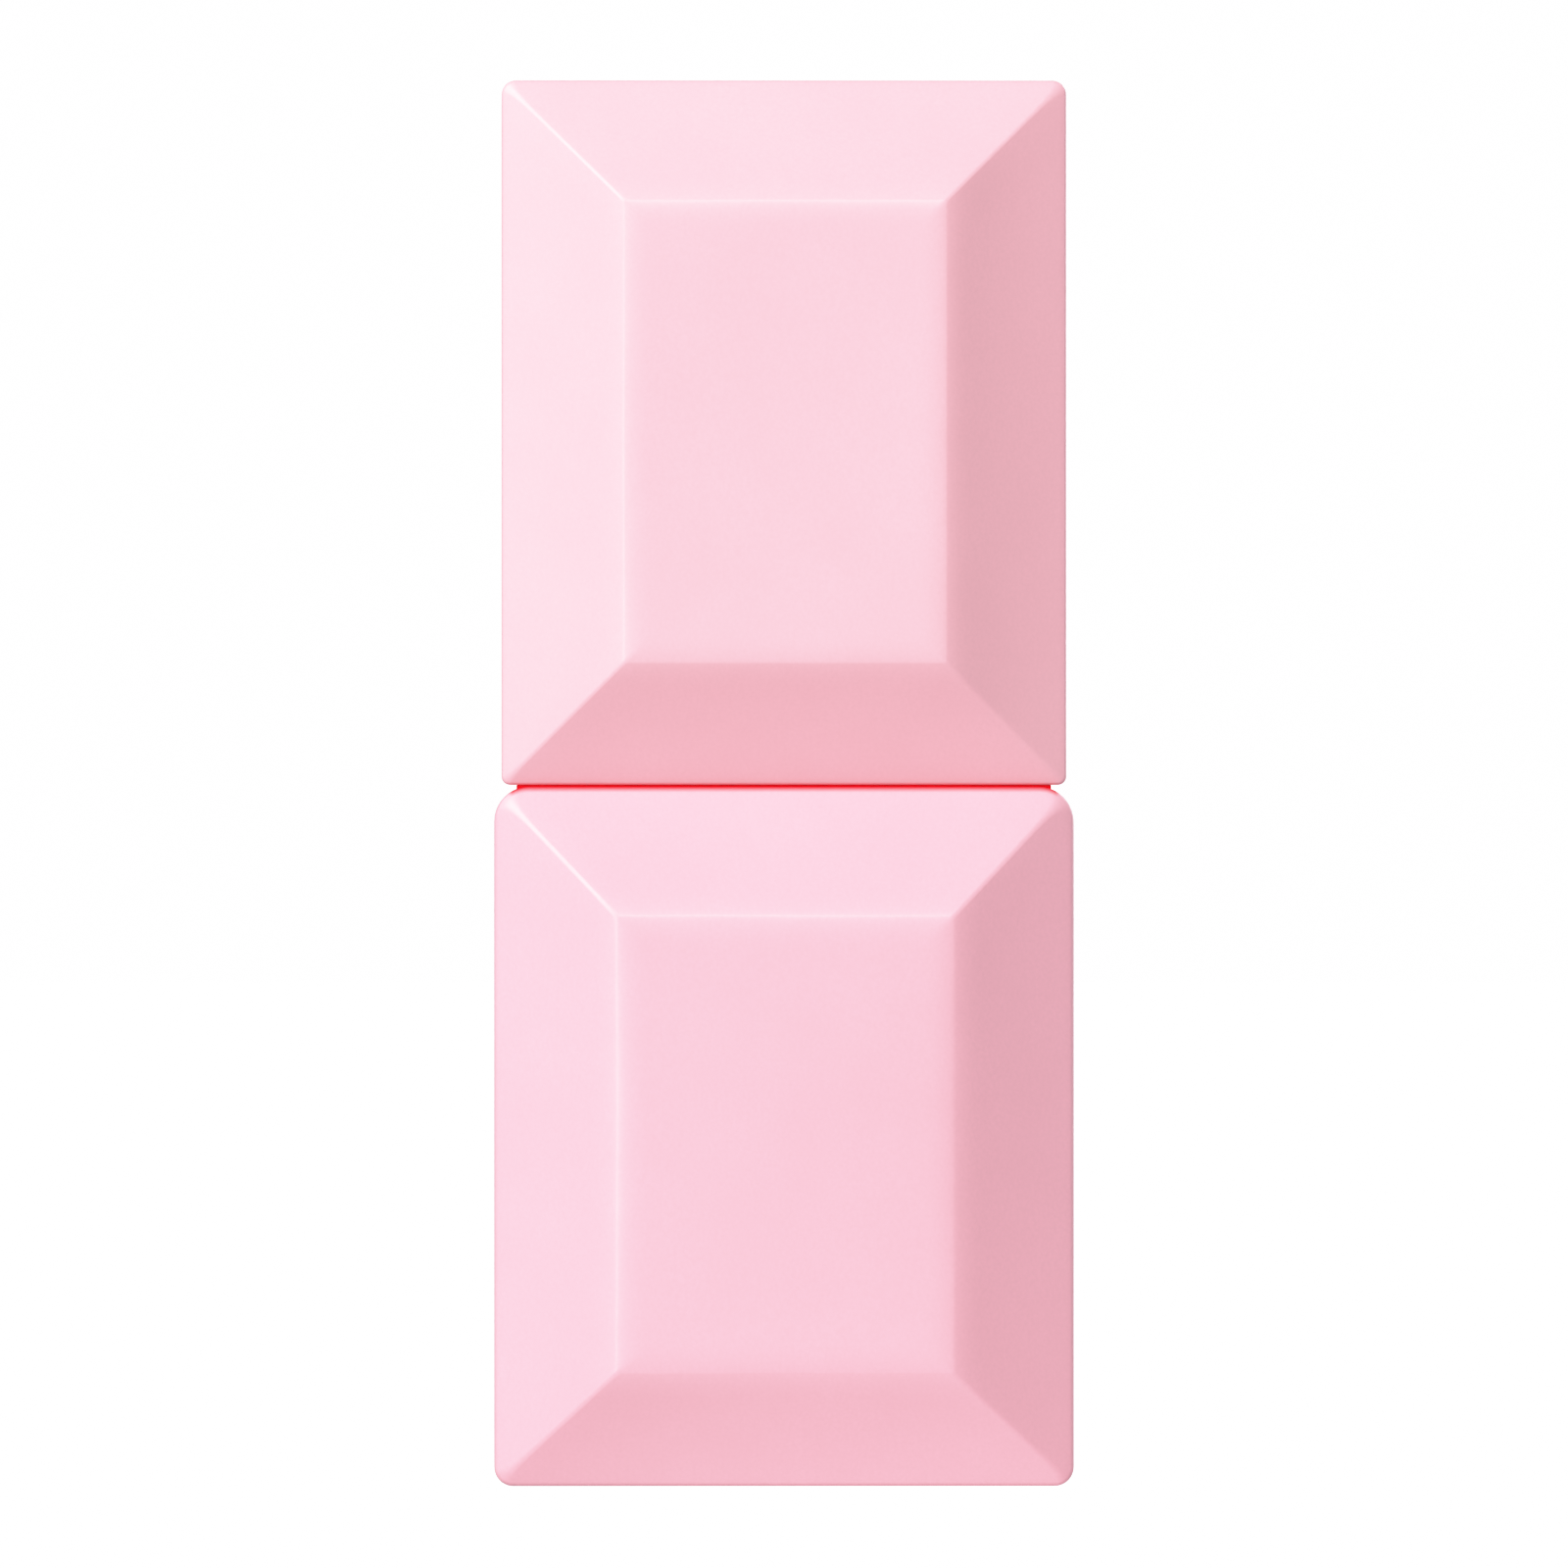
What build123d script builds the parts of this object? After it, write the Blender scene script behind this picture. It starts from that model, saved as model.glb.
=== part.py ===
from build123d import *
import math
import os

# Nail polish bottle: a faceted glass bottle, a round brush closure that screws on its neck, and a
# faceted over-cap that pulls off the closure. Millimetres. The origin is the centre of the base,
# +Z is up and the front faces -Y.

# ---- outer form: two blocks, each cut like an emerald on its front and its back ----
TOTAL_HEIGHT = 80.0
BOTTLE_HEIGHT = 39.8
SEAM_GAP = 0.1            # open line between the bottle's shoulder and the over-cap
BOTTLE_WIDTH = 33.0
BOTTLE_RIM_DEPTH = 20.9   # flat band round the block's sides, measured front to back
CAP_WIDTH = 32.15
CAP_RIM_DEPTH = 20.0
BEVEL_DEPTH = 4.2         # how far each front or back table stands out from the rim band
BEVEL_WIDTH = 6.9         # width of the sloping facets round a table
BOTTLE_BEVEL_TOP = 7.3
BOTTLE_BEVEL_BOTTOM = 6.5
BOTTLE_CORNERS = (1.0, 2.0, 0.6)    # corner radii at the base, at the shoulder and on the tables
BOTTLE_EDGE_ROUNDS = (0.5, 1.2)     # edge radii round the rim band and round the tables
CAP_CORNERS = (0.5, 0.8, 0.4)
CAP_EDGE_ROUNDS = (0.35, 0.8)

# ---- glass bottle ----
SIDE_WALL = 3.4
BASE_WALL = 4.8
SHOULDER_WALL = 3.5
CAVITY_RIM_DEPTH = 14.8
CAVITY_BEVEL_DEPTH = 4.0
CAVITY_BEVEL_WIDTH = 6.0
CAVITY_CORNER = 4.0
CAVITY_EDGE_ROUND = 1.6
NECK_HEIGHT = 12.5
NECK_RADIUS = 5.75
BORE_RADIUS = 3.3
LIP_ROUND = 0.45
SHOULDER_ROUND = 0.8
SHOULDER_PAD = (31.0, 19.6)   # raised pad that the over-cap rests on
SHOULDER_PAD_CORNER = 0.5
SHOULDER_PAD_ROOT = 0.6       # how far the pad reaches down into the shoulder's rounded corners
BASE_RECESS = (24.0, 12.5, 0.5)
BASE_RECESS_CORNER = 3.0

# ---- neck thread, a right-hand 13 mm finish ----
THREAD_PITCH = 2.12
THREAD_TURNS = 1.5
THREAD_HEIGHT = 0.75
THREAD_ROOT_WIDTH = 1.5
THREAD_CREST_WIDTH = 0.5
THREAD_ABOVE_SHOULDER = 5.7
THREAD_CLEARANCE = 0.12
THREAD_EMBED = 0.2        # how far a ridge is rooted in its wall

# ---- contents ----
FILL_LEVEL = 34.0
LIQUID_CLEARANCE = 0.05
BRUSH_WELL_RADIUS = 2.8
BRUSH_WELL_CLEARANCE = 0.5
BALL_RADIUS = 2.0
BALL_SPREAD = 3.0         # each ball's distance from the middle, left and right
BALL_ROLL = 4.0           # how far the balls roll to either side
BALL_SET_BACK = 4.9
BALL_CLEARANCE = 0.1

# ---- brush ----
WASHER_THICKNESS = 0.8
WASHER_RADIUS = 5.5
WASHER_HOLE_RADIUS = 2.3
FLANGE_RADIUS = 5.3
FLANGE_THICKNESS = 1.2
STEM_RADIUS_TOP = 2.1
STEM_RADIUS_END = 1.9
STEM_END = 21.0
SOCKET_RADIUS = 1.3
SOCKET_DEPTH = 5.0
BRISTLE_TIP = 6.2
BRISTLE_BELLY_RADIUS = 2.25
BRISTLE_DOME_RADIUS = 2.0
BRISTLE_DOME_HEIGHT = 2.4
BRISTLE_CLEARANCE = 0.04
STAPLE_RADIUS = 0.2
STAPLE_LENGTH = 3.4
STAPLE_BELOW_SOCKET_TOP = 0.6
HEAD_RADIUS = 2.2
BARB_RADIUS = 2.8
BARB_TIP_RADIUS = 1.8
BARB_HEIGHT = 1.2
RUNNING_CLEARANCE = 0.05

# ---- inner closure ----
CLOSURE_RADIUS = 7.35
CLOSURE_RIB_HEIGHT = 0.25
CLOSURE_RIBS = 36
CLOSURE_TOP_WALL = 1.7
CLOSURE_ABOVE_SHOULDER = 0.6
CLOSURE_COLLAR_HEIGHT = 1.6
CLOSURE_TOP_ROUND = 0.6

# ---- over-cap ----
CAP_SIDE_WALL = 1.6
CAP_FRONT_WALL = 1.1
CAP_TOP_WALL = 2.2
INSERT_PLATE_RECESS = 0.3
INSERT_PLATE_THICKNESS = 1.1
INSERT_FIT = 0.05
LEDGE_AT_SIDES = 0.8      # step inside the mouth that the insert's plate seats on
LEDGE_AT_FRONT = 0.2
MOUTH_CORNER = 1.0
HOLLOW_BEVEL_DEPTH = 3.8
HOLLOW_BEVEL_WIDTH = 5.9
HOLLOW_CORNER = 0.5
HOLLOW_EDGE_ROUND = 0.3
SLEEVE_INNER_RADIUS = 7.95
SLEEVE_OUTER_RADIUS = 8.6
SLEEVE_RIBS = 8
SLEEVE_RIB_WIDTH = 0.8
SLEEVE_RIB_GRIP = 0.02    # space left between a grip rib and the closure
SLEEVE_STOP_THICKNESS = 1.2
SLEEVE_STOP_HOLE_RADIUS = 3.6
WEIGHT_RADIUS = 7.85
WEIGHT_HEIGHT = 7.0
WEIGHT_CHAMFER = 0.5

# ---- base label ----
LABEL_SIZE = (20.0, 9.0, 0.12)
LABEL_CORNER = 2.0

# ---- heights worked out from the dimensions above ----
CAP_BOTTOM = BOTTLE_HEIGHT + SEAM_GAP
CAP_HEIGHT = TOTAL_HEIGHT - CAP_BOTTOM
LAND = BOTTLE_HEIGHT + NECK_HEIGHT
FLANGE_BOTTOM = LAND + WASHER_THICKNESS
CLOSURE_CEILING = FLANGE_BOTTOM + FLANGE_THICKNESS
CLOSURE_TOP = CLOSURE_CEILING + CLOSURE_TOP_WALL
CLOSURE_BOTTOM = BOTTLE_HEIGHT + CLOSURE_ABOVE_SHOULDER
THREAD_START = BOTTLE_HEIGHT + THREAD_ABOVE_SHOULDER
CLOSURE_BORE_RADIUS = NECK_RADIUS + THREAD_HEIGHT + THREAD_CLEARANCE
SLEEVE_STOP = CLOSURE_TOP + RUNNING_CLEARANCE
WEIGHT_BOTTOM = SLEEVE_STOP + SLEEVE_STOP_THICKNESS
PLATE_BOTTOM = CAP_BOTTOM + INSERT_PLATE_RECESS
PLATE_TOP = PLATE_BOTTOM + INSERT_PLATE_THICKNESS
EPSILON = 1e-4


def upright(sketch, y):
    """Stand a sketch up, its own Y along +Z, at the given distance behind the XZ plane."""
    return Plane(origin=(0, y, 0), x_dir=(1, 0, 0), z_dir=(0, -1, 0)) * sketch


def outline(width, bottom, top, lower_corner, upper_corner):
    """A rectangle between two heights, with its own radius on the lower and the upper corners."""
    height = top - bottom
    shape = Pos(0, bottom + height / 2) * Rectangle(width, height)
    shape = fillet(shape.vertices().group_by(Axis.Y)[0], lower_corner)
    return fillet(shape.vertices().group_by(Axis.Y)[-1], upper_corner)


def edges_at_depth(solid, y):
    """The edges that lie in the two planes at this distance in front of and behind the middle."""
    return solid.edges().filter_by(
        lambda edge: abs(abs(edge.center().Y) - y) < EPSILON
        and edge.bounding_box().size.Y < EPSILON
    )


def edges_at_height(solid, z):
    """The level edges at this height."""
    return solid.edges().filter_by_position(Axis.Z, z - EPSILON, z + EPSILON)


def gem_block(width, bottom, top, rim_depth, bevel_depth, bevels, corners, edge_rounds):
    """A block with a sloping facet along each side of its front and back tables.

    bevels is (side, lower, upper) facet widths, corners is (lower, upper, table) corner radii,
    and edge_rounds is (rim, table) edge radii.
    """
    side, lower, upper = bevels
    lower_corner, upper_corner, table_corner = corners
    rim = outline(width, bottom, top, lower_corner, upper_corner)
    table = outline(width - 2 * side, bottom + lower, top - upper, table_corner, table_corner)
    half_rim = rim_depth / 2
    half_depth = half_rim + bevel_depth
    block = extrude(upright(rim, half_rim), amount=rim_depth)
    for end in (-1, 1):
        facets = [upright(rim, end * half_rim), upright(table, end * half_depth)]
        block += loft(facets, ruled=True)
    rim_round, table_round = edge_rounds
    block = fillet(edges_at_depth(block, half_depth), table_round)
    return fillet(edges_at_depth(block, half_rim), rim_round)


def rod(radius, bottom, top):
    """An upright round bar between two heights."""
    return Pos(0, 0, bottom) * Cylinder(
        radius, top - bottom, align=(Align.CENTER, Align.CENTER, Align.MIN)
    )


def cone(lower_radius, upper_radius, bottom, top):
    """An upright taper between two heights."""
    return Pos(0, 0, bottom) * Cone(
        lower_radius, upper_radius, top - bottom, align=(Align.CENTER, Align.CENTER, Align.MIN)
    )


def thread_ridge(wall_radius, outward, start):
    """A trapezoid ridge wound up a wall, facing outwards or inwards, as one solid."""
    side = 1 if outward else -1
    root = wall_radius - side * THREAD_EMBED
    crest = wall_radius + side * THREAD_HEIGHT
    half_root = THREAD_ROOT_WIDTH / 2
    half_crest = THREAD_CREST_WIDTH / 2
    path = Helix(THREAD_PITCH, THREAD_PITCH * THREAD_TURNS, wall_radius, center=(0, 0, start))
    corners = [
        (root, start - half_root),
        (crest, start - half_crest),
        (crest, start + half_crest),
        (root, start + half_root),
    ]
    profile = Plane.XZ * make_face(Polyline(*corners, close=True))
    return sweep(profile, path=path, is_frenet=True)


def bottle_cavity(clearance):
    """The hollow for the polish, or with a clearance, the polish's own outer form."""
    return gem_block(
        BOTTLE_WIDTH - 2 * SIDE_WALL - 2 * clearance,
        BASE_WALL + clearance,
        BOTTLE_HEIGHT - SHOULDER_WALL - clearance,
        CAVITY_RIM_DEPTH - 2 * clearance,
        CAVITY_BEVEL_DEPTH,
        (CAVITY_BEVEL_WIDTH,) * 3,
        (CAVITY_CORNER, CAVITY_CORNER, CAVITY_CORNER / 2),
        (CAVITY_EDGE_ROUND,) * 2,
    )


def glass_bottle():
    """Heavy faceted glass with a round threaded neck and a shallow recess under its base."""
    glass = gem_block(
        BOTTLE_WIDTH, 0, BOTTLE_HEIGHT, BOTTLE_RIM_DEPTH, BEVEL_DEPTH,
        (BEVEL_WIDTH, BOTTLE_BEVEL_BOTTOM, BOTTLE_BEVEL_TOP), BOTTLE_CORNERS, BOTTLE_EDGE_ROUNDS,
    )
    pad = RectangleRounded(*SHOULDER_PAD, SHOULDER_PAD_CORNER)
    pad = extrude(pad, amount=SHOULDER_PAD_ROOT + SEAM_GAP)
    glass += Pos(0, 0, BOTTLE_HEIGHT - SHOULDER_PAD_ROOT) * pad
    glass += rod(NECK_RADIUS, BOTTLE_HEIGHT, LAND)
    neck_foot = edges_at_height(glass, CAP_BOTTOM).filter_by(
        lambda edge: abs(edge.length - 2 * math.pi * NECK_RADIUS) < EPSILON
    )
    glass = fillet(neck_foot, SHOULDER_ROUND)
    glass -= bottle_cavity(0)
    glass -= rod(BORE_RADIUS, BOTTLE_HEIGHT / 2, LAND + 1)
    glass = fillet(edges_at_height(glass, LAND), LIP_ROUND)
    width, depth, recess = BASE_RECESS
    push_up = extrude(RectangleRounded(width, depth, BASE_RECESS_CORNER), amount=recess)
    glass -= push_up
    return glass + thread_ridge(NECK_RADIUS, True, THREAD_START)


def base_label():
    """A blank label stuck to the roof of the recess under the base."""
    width, depth, thickness = LABEL_SIZE
    label = extrude(RectangleRounded(width, depth, LABEL_CORNER), amount=thickness)
    return Pos(0, 0, BASE_RECESS[2] - thickness) * label


def ball_track():
    """The room that the two mixing balls roll in, along the floor behind the brush."""
    radius = BALL_RADIUS + BALL_CLEARANCE
    reach = BALL_SPREAD + BALL_ROLL
    path = Pos(0, BALL_SET_BACK, ball_height()) * Rot(0, 90, 0) * Cylinder(radius, 2 * reach)
    track = path
    for end in (-1, 1):
        track += Pos(end * reach, BALL_SET_BACK, ball_height()) * Sphere(radius)
    floor = Pos(0, BALL_SET_BACK, BASE_WALL) * Box(
        2 * (reach + radius), 2 * radius, 2 * (ball_height() - BASE_WALL)
    )
    return track + floor


def ball_height():
    """Height of a resting ball's centre."""
    return BASE_WALL + BALL_RADIUS + BALL_CLEARANCE


def nail_polish():
    """The polish up to its level, open where the brush hangs and where the balls roll."""
    polish = bottle_cavity(LIQUID_CLEARANCE)
    above = Pos(0, 0, FILL_LEVEL) * Box(
        BOTTLE_WIDTH, BOTTLE_WIDTH, BOTTLE_HEIGHT, align=(Align.CENTER, Align.CENTER, Align.MIN)
    )
    polish -= above
    polish -= rod(BRUSH_WELL_RADIUS, BRISTLE_TIP - BRUSH_WELL_CLEARANCE, BOTTLE_HEIGHT)
    return polish - ball_track()


def mixing_balls():
    """Two loose steel balls that stir the polish when the bottle is shaken."""
    places = [(end * BALL_SPREAD, BALL_SET_BACK, ball_height()) for end in (-1, 1)]
    return Compound(children=[Pos(*place) * Sphere(BALL_RADIUS) for place in places])


def sealing_washer():
    """A soft ring round the stem, between the glass lip and the stem's flange."""
    return rod(WASHER_RADIUS, LAND, FLANGE_BOTTOM) - rod(WASHER_HOLE_RADIUS, LAND, FLANGE_BOTTOM)


def staple_bar(radius, length):
    """The anchor wire's straight run across the stem."""
    height = STEM_END + SOCKET_DEPTH - STAPLE_BELOW_SOCKET_TOP
    return Pos(0, 0, height) * Rot(0, 90, 0) * Cylinder(radius, length)


def brush_stem():
    """The moulded stem: a barbed head, a flange over the washer, a taper and a bristle socket."""
    neck_top = CLOSURE_TOP + RUNNING_CLEARANCE
    barb_top = neck_top + BARB_HEIGHT
    stem = cone(STEM_RADIUS_END, STEM_RADIUS_TOP, STEM_END, FLANGE_BOTTOM)
    stem += rod(FLANGE_RADIUS, FLANGE_BOTTOM, CLOSURE_CEILING)
    stem += rod(HEAD_RADIUS, CLOSURE_CEILING, neck_top)
    stem += cone(BARB_RADIUS, BARB_TIP_RADIUS, neck_top, barb_top)
    stem -= rod(SOCKET_RADIUS, STEM_END - 1, STEM_END + SOCKET_DEPTH)
    return stem - staple_bar(STAPLE_RADIUS + BRISTLE_CLEARANCE, STAPLE_LENGTH + BRISTLE_CLEARANCE)


def bristle_staple():
    """The wire that anchors the folded bristles in the stem."""
    return staple_bar(STAPLE_RADIUS, STAPLE_LENGTH)


def brush_bristles():
    """The bristle bundle: a tight shank in the socket, a fuller belly and a domed tip."""
    shank = SOCKET_RADIUS - BRISTLE_CLEARANCE
    top = STEM_END + SOCKET_DEPTH - BRISTLE_CLEARANCE
    shank_end = (shank, STEM_END - BRISTLE_CLEARANCE)
    belly = (BRISTLE_BELLY_RADIUS, (STEM_END + BRISTLE_TIP) / 2)
    dome_start = (BRISTLE_DOME_RADIUS, BRISTLE_TIP + BRISTLE_DOME_HEIGHT)
    flank = Spline(shank_end, belly, dome_start, tangents=[(0.35, -1), (-0.1, -1)])
    dome = Spline(dome_start, (0, BRISTLE_TIP), tangents=[(-0.1, -1), (-1, 0)])
    sides = Polyline((0, BRISTLE_TIP), (0, top), (shank, top), shank_end)
    profile = Plane.XZ * make_face(sides.edges() + flank.edges() + dome.edges())
    bundle = revolve(profile, Axis.Z)
    return bundle - staple_bar(STAPLE_RADIUS + BRISTLE_CLEARANCE, STAPLE_LENGTH)


def inner_closure():
    """The round screw closure: a ribbed grip, an internal thread and a roof that holds the stem."""
    body = rod(CLOSURE_RADIUS, CLOSURE_BOTTOM, CLOSURE_TOP)
    body = fillet(body.edges().group_by(Axis.Z)[-1], CLOSURE_TOP_ROUND)
    rib_bottom = CLOSURE_BOTTOM + CLOSURE_COLLAR_HEIGHT
    rib_top = CLOSURE_TOP - CLOSURE_COLLAR_HEIGHT
    rib = Pos(CLOSURE_RADIUS, 0, rib_bottom) * Cylinder(
        CLOSURE_RIB_HEIGHT, rib_top - rib_bottom, align=(Align.CENTER, Align.CENTER, Align.MIN)
    )
    body += [Rot(0, 0, turn * 360 / CLOSURE_RIBS) * rib for turn in range(CLOSURE_RIBS)]
    body -= rod(CLOSURE_BORE_RADIUS, CLOSURE_BOTTOM - 1, CLOSURE_CEILING)
    body -= rod(HEAD_RADIUS + RUNNING_CLEARANCE, CLOSURE_CEILING - 1, CLOSURE_TOP + 1)
    return body + thread_ridge(CLOSURE_BORE_RADIUS, False, THREAD_START - THREAD_PITCH / 2)


def mouth_plate(fit):
    """The rounded plate that closes the over-cap's mouth, or its seat when fit is 0."""
    width = CAP_WIDTH - 2 * CAP_SIDE_WALL - 2 * fit
    depth = CAP_RIM_DEPTH - 2 * CAP_FRONT_WALL - 2 * fit
    return RectangleRounded(width, depth, MOUTH_CORNER)


def over_cap_shell():
    """The faceted hollow shell, with a ledge inside its mouth that the insert seats on."""
    shell = gem_block(
        CAP_WIDTH, CAP_BOTTOM, TOTAL_HEIGHT, CAP_RIM_DEPTH, BEVEL_DEPTH,
        (BEVEL_WIDTH, BEVEL_WIDTH, BEVEL_WIDTH), CAP_CORNERS, CAP_EDGE_ROUNDS,
    )
    shell -= gem_block(
        CAP_WIDTH - 2 * (CAP_SIDE_WALL + LEDGE_AT_SIDES), PLATE_BOTTOM, TOTAL_HEIGHT - CAP_TOP_WALL,
        CAP_RIM_DEPTH - 2 * (CAP_FRONT_WALL + LEDGE_AT_FRONT), HOLLOW_BEVEL_DEPTH,
        (HOLLOW_BEVEL_WIDTH,) * 3, (HOLLOW_CORNER,) * 3, (HOLLOW_EDGE_ROUND,) * 2,
    )
    seat = Pos(0, 0, CAP_BOTTOM - 1) * extrude(mouth_plate(0), amount=PLATE_TOP - CAP_BOTTOM + 1)
    return shell - seat


def over_cap_insert():
    """The fixed liner: a plate in the shell's mouth and a ribbed sleeve that grips the closure."""
    plate = Pos(0, 0, PLATE_BOTTOM) * extrude(mouth_plate(INSERT_FIT), amount=INSERT_PLATE_THICKNESS)
    sleeve_top = WEIGHT_BOTTOM + WEIGHT_HEIGHT
    insert = plate + rod(SLEEVE_OUTER_RADIUS, PLATE_BOTTOM, sleeve_top)
    insert -= rod(SLEEVE_INNER_RADIUS, PLATE_BOTTOM - 1, SLEEVE_STOP)
    insert -= rod(SLEEVE_STOP_HOLE_RADIUS, SLEEVE_STOP - 1, WEIGHT_BOTTOM)
    insert -= rod(SLEEVE_INNER_RADIUS, WEIGHT_BOTTOM, sleeve_top + 1)
    grip = CLOSURE_RADIUS + CLOSURE_RIB_HEIGHT + SLEEVE_RIB_GRIP
    rib_depth = (SLEEVE_INNER_RADIUS + SLEEVE_OUTER_RADIUS) / 2 - grip
    rib = Pos(grip, 0, PLATE_TOP) * Box(
        rib_depth, SLEEVE_RIB_WIDTH, SLEEVE_STOP - PLATE_TOP,
        align=(Align.MIN, Align.CENTER, Align.MIN),
    )
    insert += [Rot(0, 0, turn * 360 / SLEEVE_RIBS) * rib for turn in range(SLEEVE_RIBS)]
    return insert


def over_cap_weight():
    """A metal slug in the top of the sleeve, which gives the cap its heft."""
    slug = rod(WEIGHT_RADIUS, WEIGHT_BOTTOM, WEIGHT_BOTTOM + WEIGHT_HEIGHT)
    return chamfer(slug.edges().filter_by(GeomType.CIRCLE), WEIGHT_CHAMFER)


NODES = {
    "glass_bottle": glass_bottle,
    "base_label": base_label,
    "nail_polish": nail_polish,
    "mixing_balls": mixing_balls,
    "sealing_washer": sealing_washer,
    "brush_stem": brush_stem,
    "bristle_staple": bristle_staple,
    "brush_bristles": brush_bristles,
    "inner_closure": inner_closure,
    "over_cap_shell": over_cap_shell,
    "over_cap_insert": over_cap_insert,
    "over_cap_weight": over_cap_weight,
}

os.makedirs("parts", exist_ok=True)
for name, build_node in NODES.items():
    export_step(build_node(), f"parts/{name}.step")
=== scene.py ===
import math
import random

import bmesh
import bpy
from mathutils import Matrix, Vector, noise


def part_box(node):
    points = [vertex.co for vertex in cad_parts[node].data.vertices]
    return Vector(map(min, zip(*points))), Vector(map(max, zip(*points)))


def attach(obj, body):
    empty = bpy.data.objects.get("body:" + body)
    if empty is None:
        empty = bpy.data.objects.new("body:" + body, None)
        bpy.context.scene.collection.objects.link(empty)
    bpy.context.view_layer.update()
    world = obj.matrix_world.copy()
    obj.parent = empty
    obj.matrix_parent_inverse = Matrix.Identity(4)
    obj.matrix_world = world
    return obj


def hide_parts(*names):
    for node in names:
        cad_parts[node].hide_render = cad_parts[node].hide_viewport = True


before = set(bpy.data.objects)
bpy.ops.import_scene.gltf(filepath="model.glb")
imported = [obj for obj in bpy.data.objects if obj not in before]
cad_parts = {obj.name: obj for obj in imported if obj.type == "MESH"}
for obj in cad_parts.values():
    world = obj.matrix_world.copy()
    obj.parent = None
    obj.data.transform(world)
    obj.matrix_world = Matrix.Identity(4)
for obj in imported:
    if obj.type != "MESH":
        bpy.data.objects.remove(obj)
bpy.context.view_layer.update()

# ---- sizes, in metres, all in the CAD frame: origin under the base, +Z up, front towards -Y ----
MM = 0.001
BOTTLE_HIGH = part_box("glass_bottle")[1]
CAP_LOW, CAP_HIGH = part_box("over_cap_shell")
POLISH_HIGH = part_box("nail_polish")[1]
BRISTLE_LOW, BRISTLE_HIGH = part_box("brush_bristles")
STEM_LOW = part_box("brush_stem")[0]
PLATE_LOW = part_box("over_cap_insert")[0]

SEAM_GAP = 0.1 * MM
SHOULDER = CAP_LOW[2] - SEAM_GAP
BEVEL_DEPTH = 4.2 * MM
BEVEL_WIDTH = 6.9 * MM
NECK_TOP = BOTTLE_HIGH[2]
NECK_RADIUS = 5.75 * MM
BORE_RADIUS = 3.3 * MM
THREAD_PITCH = 2.12 * MM
THREAD_TURNS = 1.5
THREAD_HEIGHT = 0.75 * MM
THREAD_START = SHOULDER + 5.7 * MM
NECK_LIP = 0.45 * MM
NECK_FOOT = 0.8 * MM
LACQUER_RISE = 0.6 * MM    # how far the lacquer climbs the neck's rounded foot
SHOULDER_PAD = (15.2 * MM, 9.8 * MM)
SHOULDER_CORNER = 2.0 * MM
TABLE_CROWN = 0.2 * MM
PLATE_THICKNESS = 1.1 * MM

# ---- the hollow inside the glass ----
CAVITY_HALF_WIDTH = BOTTLE_HIGH[0] - 3.4 * MM
CAVITY_BOTTOM = 4.8 * MM
CAVITY_TOP = SHOULDER - 3.5 * MM
CAVITY_HALF_RIM = 7.4 * MM
CAVITY_BEVEL_DEPTH = 4.0 * MM

# ---- how far the seam's painted shade, a saturated red, reaches over the glass: outwards, and down to where it has gone ----
SEAM_REACH = 15.75 * MM
SEAM_FADE = 0.33 * MM
SEAM_CORE = 0.04 * MM

# ---- colours ----
CAP_PINK = (0.930, 0.470, 0.537)
BOTTLE_PINK = (0.898, 0.441, 0.521)
POLISH_PINK = (0.87, 0.36, 0.45)
# painted shade: the saturated red of the seam's crevice, painted on the lacquer just below the cap's
# edge
SEAM_PAINTED_SHADE_RED = (0.74, 0.002, 0.02, 1)
# painted shade on the pad's wall in the seam, the same saturated red
SEAM_WALL_PAINTED_SHADE_REDS = ((0.66, 0.0, 0.004, 1), (0.74, 0.0, 0.008, 1))

# ---- how finely the lofted blocks are divided ----
CORNER_STEPS = 10
SIDE_STEPS = 18
TABLE_STEPS = 10

# ---- how the moulded forms are softened ----
RIPPLE_SIZE = 9 * MM
RIDGE_SPACING = 1.8        # over 1 crowds the steps towards the ridge
RIDGE_SOFTNESS = 0.45      # under 1 keeps most of the turn close to the ridge
CORNER_SHARPENING = 12     # how soon the rounded corners sharpen into the facets' mitres


# ==== small helpers ====

def new_object(name, mesh, body):
    """Link a mesh as a named object that rides on a CAD body."""
    piece = bpy.data.objects.new(name, mesh)
    bpy.context.scene.collection.objects.link(piece)
    if body:
        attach(piece, body)
    return piece


def mesh_from(name, vertices, faces):
    """A mesh from plain lists, with its normals turned outwards."""
    mesh = bpy.data.meshes.new(name)
    mesh.from_pydata(vertices, [], faces)
    work = bmesh.new()
    work.from_mesh(mesh)
    bmesh.ops.recalc_face_normals(work, faces=work.faces)
    work.to_mesh(mesh)
    work.free()
    return mesh


def combine(base, cutter, operation):
    """The base mesh with another one added to it or cut from it."""
    objects = [bpy.data.objects.new("work", mesh) for mesh in (base, cutter)]
    for item in objects:
        bpy.context.scene.collection.objects.link(item)
    step = objects[0].modifiers.new("combine", "BOOLEAN")
    step.operation = operation
    step.solver = "EXACT"
    step.object = objects[1]
    evaluated = objects[0].evaluated_get(bpy.context.evaluated_depsgraph_get())
    result = bpy.data.meshes.new_from_object(evaluated)
    for item in objects:
        bpy.data.objects.remove(item)
    return result


def smooth(mesh, sharp_angle=math.radians(35)):
    """Smooth shading, broken only where two faces meet at more than an angle."""
    work = bmesh.new()
    work.from_mesh(mesh)
    for face in work.faces:
        face.smooth = True
    for edge in work.edges:
        edge.smooth = len(edge.link_faces) != 2 or edge.calc_face_angle(0) < sharp_angle
    work.to_mesh(mesh)
    work.free()


# ==== faceted blocks ====

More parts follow.
